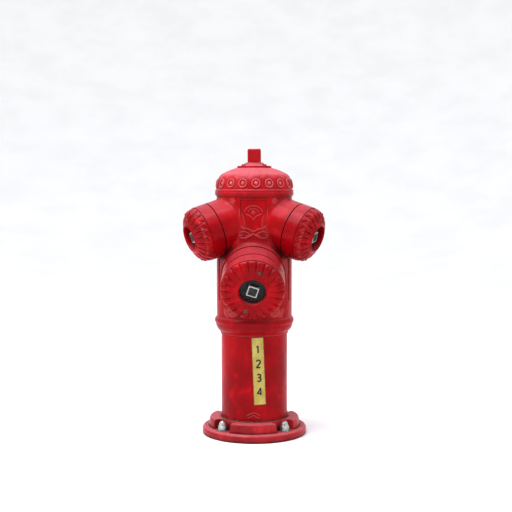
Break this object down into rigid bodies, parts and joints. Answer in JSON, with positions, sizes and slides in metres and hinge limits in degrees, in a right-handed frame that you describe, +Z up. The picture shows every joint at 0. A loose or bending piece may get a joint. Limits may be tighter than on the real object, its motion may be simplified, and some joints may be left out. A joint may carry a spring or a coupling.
{
  "type": "pillar fire hydrant",
  "caption": "Cast-iron pillar fire hydrant: round flanged foot, plain barrel, head with a large front and smaller side outlets under fluted screw caps, domed top, square nut",
  "frame": {"origin": "on the column's axis, at the underside of the base flange (the inlet's mouth)", "axes": "+Z up along the column; the large front outlet points along -Y"},
  "size_m": [0.3494, 0.3211, 0.698],
  "materials": {
    "red_enamel": "gloss enamel",
    "black_iron": "worn black paint",
    "painted_bronze": "gloss enamel on bronze",
    "painted_steel": "gloss enamel",
    "yellow_plate": "yellow printed plate",
    "zinc_steel": "weathered zinc",
    "stainless_steel": "turned",
    "bronze": "machined",
    "bare_iron": "as cast",
    "gasket_rubber": "matt",
    "seal_rubber": "matt",
    "valve_rubber": "matt"
  },
  "bodies": {
    "column": {"base_plate": "red_enamel", "base_gasket": "gasket_rubber", "barrel_foot": "red_enamel", "base_studs": "zinc_steel", "base_washers": "zinc_steel", "base_cap_nuts": "zinc_steel", "foot_seal": "seal_rubber", "seat_ring": "bronze", "lower_barrel": "red_enamel", "head_seal": "seal_rubber", "stem_guide": "bare_iron", "head": "red_enamel", "bonnet_seal": "seal_rubber", "bonnet": "red_enamel", "lock_screw": "zinc_steel", "lower_thrust_washer": "bronze", "upper_thrust_washer": "bronze", "gland_plate": "red_enamel", "gland_screws": "painted_steel", "number_plate": "yellow_plate", "front_nozzle": "bronze", "front_nozzle_gasket": "gasket_rubber", "left_nozzle": "bronze", "left_nozzle_gasket": "gasket_rubber", "right_nozzle": "bronze", "right_nozzle_gasket": "gasket_rubber"},
    "valve": {"stem": "stainless_steel", "valve_back_plate": "bare_iron", "valve_disc": "valve_rubber", "valve_front_plate": "bare_iron", "valve_nut": "bronze"},
    "nut": {"operating_nut": "painted_bronze", "nut_seals": "seal_rubber"},
    "front_seal": {"front_cap_gasket": "gasket_rubber"},
    "front_cap": {"front_cap_plug": "black_iron", "front_cap_cover": "red_enamel", "front_cover_screws": "zinc_steel"},
    "left_seal": {"left_cap_gasket": "gasket_rubber"},
    "left_cap": {"left_cap_plug": "black_iron", "left_cap_cover": "red_enamel", "left_cover_screws": "zinc_steel"},
    "right_seal": {"right_cap_gasket": "gasket_rubber"},
    "right_cap": {"right_cap_plug": "black_iron", "right_cap_cover": "red_enamel", "right_cover_screws": "zinc_steel"}
  },
  "joints": [
    {"name": "nut_turn", "type": "hinge", "parent": "column", "child": "nut", "pos_m": [0, 0, 0.652], "axis": [0, 0, 1], "range_deg": [0, 2520]},
    {"name": "valve_lift", "type": "slide", "parent": "column", "child": "valve", "axis": [0, 0, 1], "range_m": [0, 0.035]},
    {"name": "front_cap_out", "type": "slide", "parent": "column", "child": "front_seal", "axis": [0, -0.9397, -0.342], "range_m": [0, 0.03]},
    {"name": "front_cap_turn", "type": "hinge", "parent": "front_seal", "child": "front_cap", "pos_m": [0, -0.14847, 0.37146], "axis": [0, -0.9397, -0.342], "range_deg": [0, 1800]},
    {"name": "left_cap_out", "type": "slide", "parent": "column", "child": "left_seal", "axis": [-0.8619, -0.4019, -0.309], "range_m": [0, 0.024]},
    {"name": "left_cap_turn", "type": "hinge", "parent": "left_seal", "child": "left_cap", "pos_m": [-0.12929, -0.06029, 0.49065], "axis": [-0.8619, -0.4019, -0.309], "range_deg": [0, 1440]},
    {"name": "right_cap_out", "type": "slide", "parent": "column", "child": "right_seal", "axis": [0.8619, -0.4019, -0.309], "range_m": [0, 0.024]},
    {"name": "right_cap_turn", "type": "hinge", "parent": "right_seal", "child": "right_cap", "pos_m": [0.12929, -0.06029, 0.49065], "axis": [0.8619, -0.4019, -0.309], "range_deg": [0, 1440]}
  ],
  "couplings": [
    {"joint": "nut_turn", "follows": "valve_lift", "rad_per_m": 1256.6},
    {"joint": "front_cap_out", "follows": "front_cap_turn", "m_per_rad": 0.00095492},
    {"joint": "left_cap_out", "follows": "left_cap_turn", "m_per_rad": 0.00095492},
    {"joint": "right_cap_out", "follows": "right_cap_turn", "m_per_rad": 0.00095492}
  ]
}
